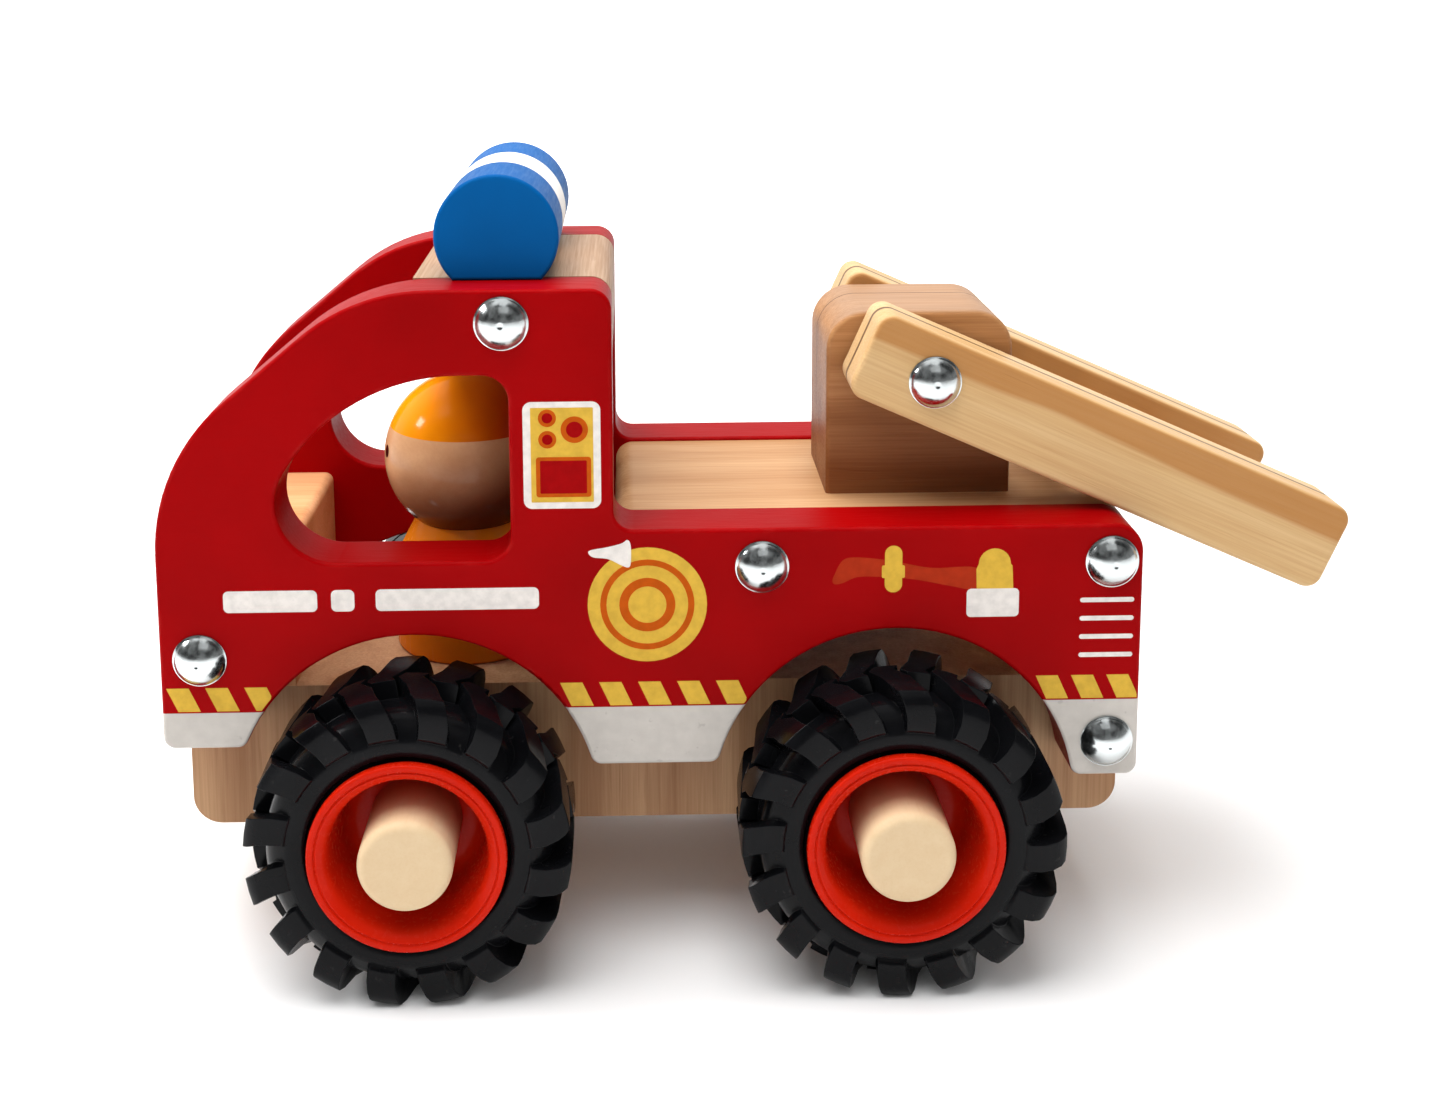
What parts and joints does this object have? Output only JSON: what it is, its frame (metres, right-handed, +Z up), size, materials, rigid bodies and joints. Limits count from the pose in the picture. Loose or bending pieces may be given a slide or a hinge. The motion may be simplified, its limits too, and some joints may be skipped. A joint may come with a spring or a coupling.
{
  "type": "toy fire engine",
  "caption": "Wooden push-along toy fire engine with a driver, lug-treaded rubber tyres on free-turning dowel axles, and a ladder that swings up on a pivot behind the cab.",
  "frame": {"origin": "on the underside of the chassis block, on the centre plane, midway between the two axles", "axes": "+Z up, -X towards the nose, so the engine's left side is at -Y"},
  "size_m": [0.1835, 0.0896, 0.1225],
  "materials": {
    "red_paint": "satin red paint on board",
    "pale_wood": "clear satin varnish",
    "chassis_wood": "clear satin varnish",
    "block_wood": "clear satin varnish",
    "ladder_plywood": "clear satin varnish",
    "pin_steel": "plain",
    "dome_chrome": "bright plated",
    "dowel_wood": "unfinished",
    "driver_orange": "gloss orange paint",
    "driver_wood": "gloss varnish",
    "beacon_blue": "gloss blue paint",
    "tyre_rubber": "moulded rubber",
    "rim_plastic": "gloss moulded",
    "hub_wood": "satin cream"
  },
  "bodies": {
    "body": {"beacon_bar": "beacon_blue", "beacon_left_dowel": "dowel_wood", "beacon_right_dowel": "dowel_wood", "bed_deck": "pale_wood", "chassis_block": "chassis_wood", "driver_body": "driver_orange", "driver_dowel": "dowel_wood", "driver_head": "driver_wood", "front_block": "chassis_wood", "ladder_block": "block_wood", "ladder_block_front_dowel": "dowel_wood", "ladder_block_rear_dowel": "dowel_wood", "left_chassis_nail": "dome_chrome", "left_deck_front_nail": "dome_chrome", "left_deck_rear_nail": "dome_chrome", "left_nose_nail": "dome_chrome", "left_roof_nail": "dome_chrome", "left_side_panel": "red_paint", "right_chassis_nail": "dome_chrome", "right_deck_front_nail": "dome_chrome", "right_deck_rear_nail": "dome_chrome", "right_nose_nail": "dome_chrome", "right_roof_nail": "dome_chrome", "right_side_panel": "red_paint", "roof_block": "pale_wood"},
    "front_wheels": {"front_axle": "dowel_wood", "front_left_hub": "hub_wood", "front_left_rim": "rim_plastic", "front_left_tyre": "tyre_rubber", "front_right_hub": "hub_wood", "front_right_rim": "rim_plastic", "front_right_tyre": "tyre_rubber"},
    "rear_wheels": {"rear_axle": "dowel_wood", "rear_left_hub": "hub_wood", "rear_left_rim": "rim_plastic", "rear_left_tyre": "tyre_rubber", "rear_right_hub": "hub_wood", "rear_right_rim": "rim_plastic", "rear_right_tyre": "tyre_rubber"},
    "ladder": {"ladder_left_cap": "dome_chrome", "ladder_left_rail": "ladder_plywood", "ladder_pivot_pin": "pin_steel", "ladder_right_cap": "dome_chrome", "ladder_right_rail": "ladder_plywood", "ladder_rung_1": "ladder_plywood", "ladder_rung_2": "ladder_plywood", "ladder_rung_3": "ladder_plywood", "ladder_rung_4": "ladder_plywood"}
  },
  "joints": [
    {"name": "front_axle_spin", "type": "hinge", "parent": "body", "child": "front_wheels", "pos_m": [-0.03673, 0, 0.0064], "axis": [0, 1, 0], "continuous": true},
    {"name": "rear_axle_spin", "type": "hinge", "parent": "body", "child": "rear_wheels", "pos_m": [0.03673, 0, 0.0064], "axis": [0, 1, 0], "continuous": true},
    {"name": "ladder_raise", "type": "hinge", "parent": "body", "child": "ladder", "pos_m": [0.0432, 0, 0.0722], "axis": [0, -1, 0], "range_deg": [0, 160]}
  ]
}
